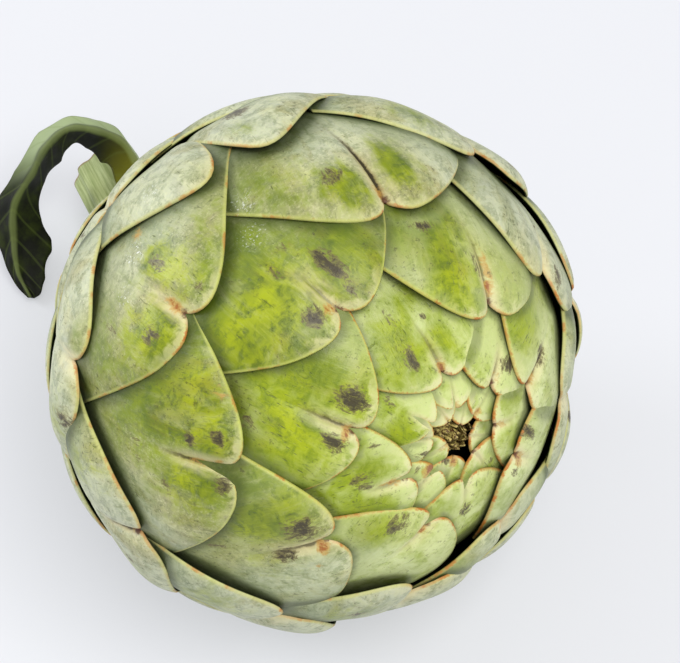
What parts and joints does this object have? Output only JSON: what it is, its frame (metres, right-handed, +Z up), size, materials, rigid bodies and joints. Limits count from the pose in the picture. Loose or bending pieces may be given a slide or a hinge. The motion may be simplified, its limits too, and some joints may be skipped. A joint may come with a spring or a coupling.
{
  "type": "globe artichoke",
  "caption": "Globe artichoke lying on its side: a head of overlapping notched bracts, a short cut stem, and one small leaf that grows from the stem and droops to the table.",
  "frame": {"origin": "middle of the small flat spot that the head rests on, at table level", "axes": "+Z up; +Y from the head toward the cut end of the stem; +X to the right when looking along +Y; the crown of the head faces -Y and upward"},
  "size_m": [0.1049, 0.1433, 0.101],
  "materials": {
    "bract": "fleshy lime-green bracts with a pale grey wax bloom, yellow rims and brown notch tips",
    "stem": "pale green fibrous skin with a paler cut end",
    "leaf": "dark green leaf with a pale downy face and pale rib"
  },
  "bodies": {
    "root": {"head": "bract", "stem": "stem", "stem_leaf": "leaf"}
  },
  "joints": []
}
